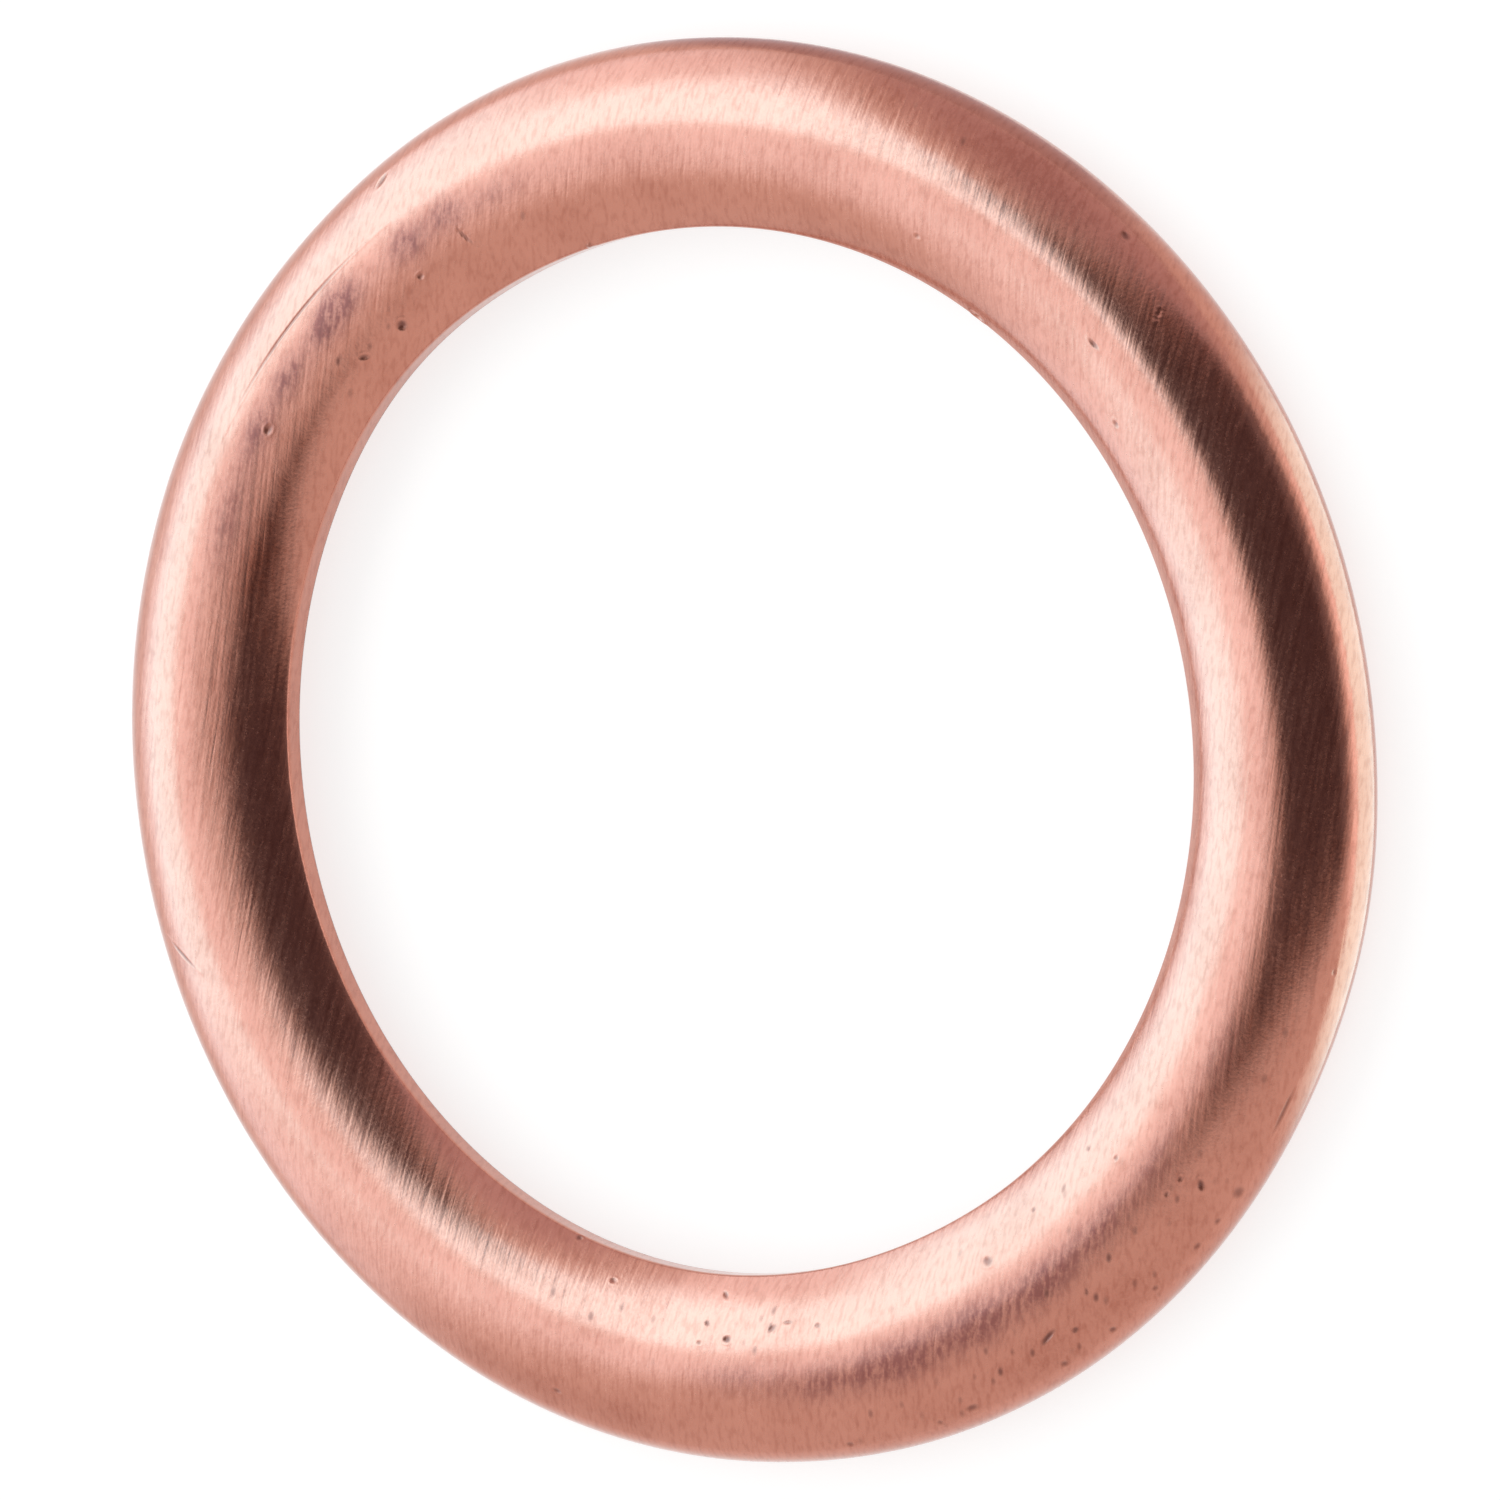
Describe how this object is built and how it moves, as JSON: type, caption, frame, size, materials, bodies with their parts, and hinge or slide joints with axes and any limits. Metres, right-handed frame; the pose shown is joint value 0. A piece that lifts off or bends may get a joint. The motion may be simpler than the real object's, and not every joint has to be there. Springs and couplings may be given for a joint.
{
  "type": "oil drain plug gasket",
  "caption": "Round hollow crush gasket folded from copper sheet, with a domed sealing face, a plain bore and a flat folded back.",
  "frame": {"origin": "centre of the bore, on the plane of the flat folded back that the ring rests on", "axes": "+Z along the bore axis, from the flat back towards the domed sealing face"},
  "size_m": [0.022, 0.022, 0.0015],
  "materials": {
    "copper_sheet": "tumbled soft copper sheet with rolling streaks"
  },
  "bodies": {
    "root": {"gasket_ring": "copper_sheet"}
  },
  "joints": []
}
